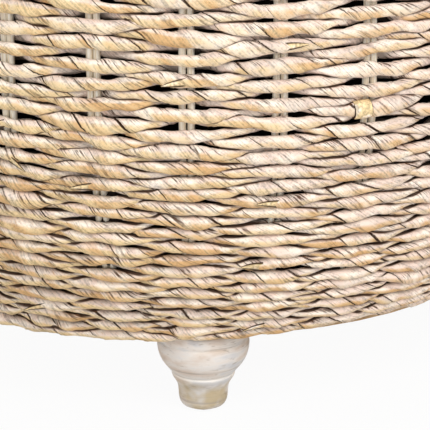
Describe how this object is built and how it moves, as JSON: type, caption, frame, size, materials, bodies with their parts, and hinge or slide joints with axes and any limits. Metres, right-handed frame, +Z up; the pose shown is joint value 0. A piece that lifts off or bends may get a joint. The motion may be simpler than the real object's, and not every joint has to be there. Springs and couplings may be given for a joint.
{
  "type": "storage ottoman",
  "caption": "Round wicker storage ottoman: bowl-shaped basket of twisted leaf rope on paired cane stakes, turned wooden feet and a padded linen lid that lifts off.",
  "frame": {"origin": "on the floor under the middle of the basket", "axes": "+Z up along the basket's axis; -Y is the front, where one foot stands; +X to the right seen from the front"},
  "size_m": [0.6085, 0.6096, 0.4663],
  "materials": {
    "leaf_rope": "matte",
    "cane": "satin",
    "plywood": "matte",
    "lining": "matte",
    "washed_wood": "matte",
    "nylon": "matte",
    "zinc_steel": "satin",
    "under_cloth": "matte",
    "foam": "matte",
    "linen": "matte"
  },
  "bodies": {
    "base": {"weave_outer_courses": "leaf_rope", "weave_inner_courses": "leaf_rope", "weave_stakes": "cane", "lower_border": "leaf_rope", "rim_border": "leaf_rope", "base_board": "plywood", "base_hoop": "plywood", "rim_ring": "plywood", "lining_drum": "lining", "lining_floor": "lining", "turned_feet": "washed_wood", "foot_glides": "nylon", "foot_bolts": "zinc_steel", "foot_inserts": "zinc_steel"},
    "lid": {"lid_board": "plywood", "lid_cloth": "under_cloth", "lid_locator": "plywood", "lid_screws": "zinc_steel", "seat_foam": "foam", "seat_cover": "linen", "seat_welt": "linen"}
  },
  "joints": [
    {"name": "lid_lift", "type": "slide", "parent": "base", "child": "lid", "axis": [0, 0, 1], "range_m": [0, 0.25]}
  ]
}
